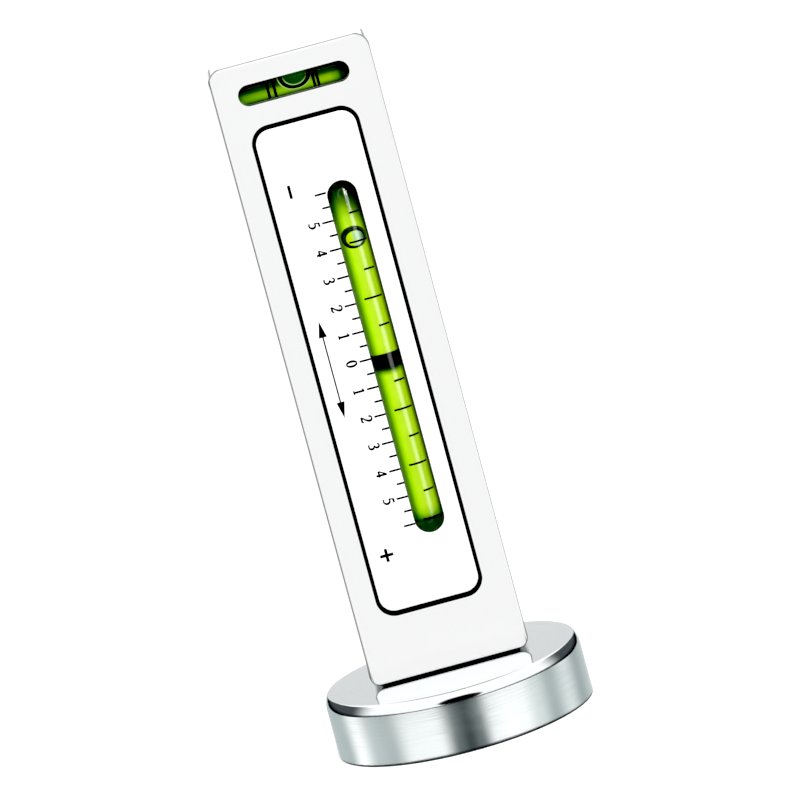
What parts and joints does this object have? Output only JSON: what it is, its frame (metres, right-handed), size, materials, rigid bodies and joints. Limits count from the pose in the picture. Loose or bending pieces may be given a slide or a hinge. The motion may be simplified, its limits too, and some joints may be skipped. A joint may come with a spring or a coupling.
{
  "type": "camber caster gauge",
  "caption": "Magnetic camber caster gauge: a flat upright bar with a long graduated camber vial and a short cross vial, on a round magnet foot.",
  "frame": {"origin": "centre of the magnet foot's lower face, which is the face that holds to the hub or disc", "axes": "+Z along the bar away from the foot, -Y out of the face with the scale, +X towards the side that the camber vial lies on"},
  "size_m": [0.0548, 0.0548, 0.147],
  "materials": {
    "cup_steel": "turned, fine circular brushing, satin",
    "ferrite": "sintered, dull dark grey",
    "pole_steel": "ground flat",
    "resin": "cast, smooth",
    "bar_aluminium": "bright satin anodised",
    "insert_steel": "plain",
    "black_steel": "black oxide",
    "spring_steel": "blued",
    "glide_plastic": "smooth",
    "plate_face": "pale satin enamel, black filled graduations",
    "pad_foam": "black, matt",
    "cradle_white": "white, smooth",
    "screw_steel": "plain",
    "vial_clear": "clear, polished",
    "plug_green": "dark green, smooth",
    "vial_liquid": "clear yellow-green liquid",
    "line_black": "black enamel",
    "bubble_gas": "clear, mirror-smooth rim",
    "plaster_white": "white plaster"
  },
  "bodies": {
    "foot": {"base_cup": "cup_steel", "ring_magnet": "ferrite", "centre_pole": "pole_steel", "magnet_resin": "resin"},
    "gauge": {"gauge_body": "bar_aluminium", "thread_insert": "insert_steel", "swivel_screw": "black_steel", "disc_spring": "spring_steel", "glide_pad": "glide_plastic", "scale_plate": "plate_face", "scale_plate_pad": "pad_foam", "camber_cradle": "cradle_white", "cradle_screws": "screw_steel", "camber_vial_tube": "vial_clear", "camber_vial_plug": "plug_green", "camber_vial_liquid": "vial_liquid", "camber_zero_band": "line_black", "camber_vial_lines": "line_black", "cross_vial_tube": "vial_clear", "cross_vial_plugs": "plug_green", "cross_vial_liquid": "vial_liquid", "cross_vial_rings": "line_black", "cross_vial_bed": "plaster_white", "cross_bore_plug": "bar_aluminium"},
    "camber_air": {"camber_bubble": "bubble_gas"},
    "cross_air": {"cross_bubble": "bubble_gas"}
  },
  "joints": [
    {"name": "bar_swivel", "type": "hinge", "parent": "foot", "child": "gauge", "pos_m": [0, 0, 0], "axis": [0, 0, 1], "continuous": true},
    {"name": "camber_bubble_swing", "type": "hinge", "parent": "gauge", "child": "camber_air", "pos_m": [0.00366, 0.34134, 0.0808], "axis": [-1, 0, 0], "range_deg": [-9.6, 1.4]},
    {"name": "cross_bubble_slide", "type": "slide", "parent": "gauge", "child": "cross_air", "axis": [1, 0, 0], "range_m": [-0.008, 0.007]}
  ]
}
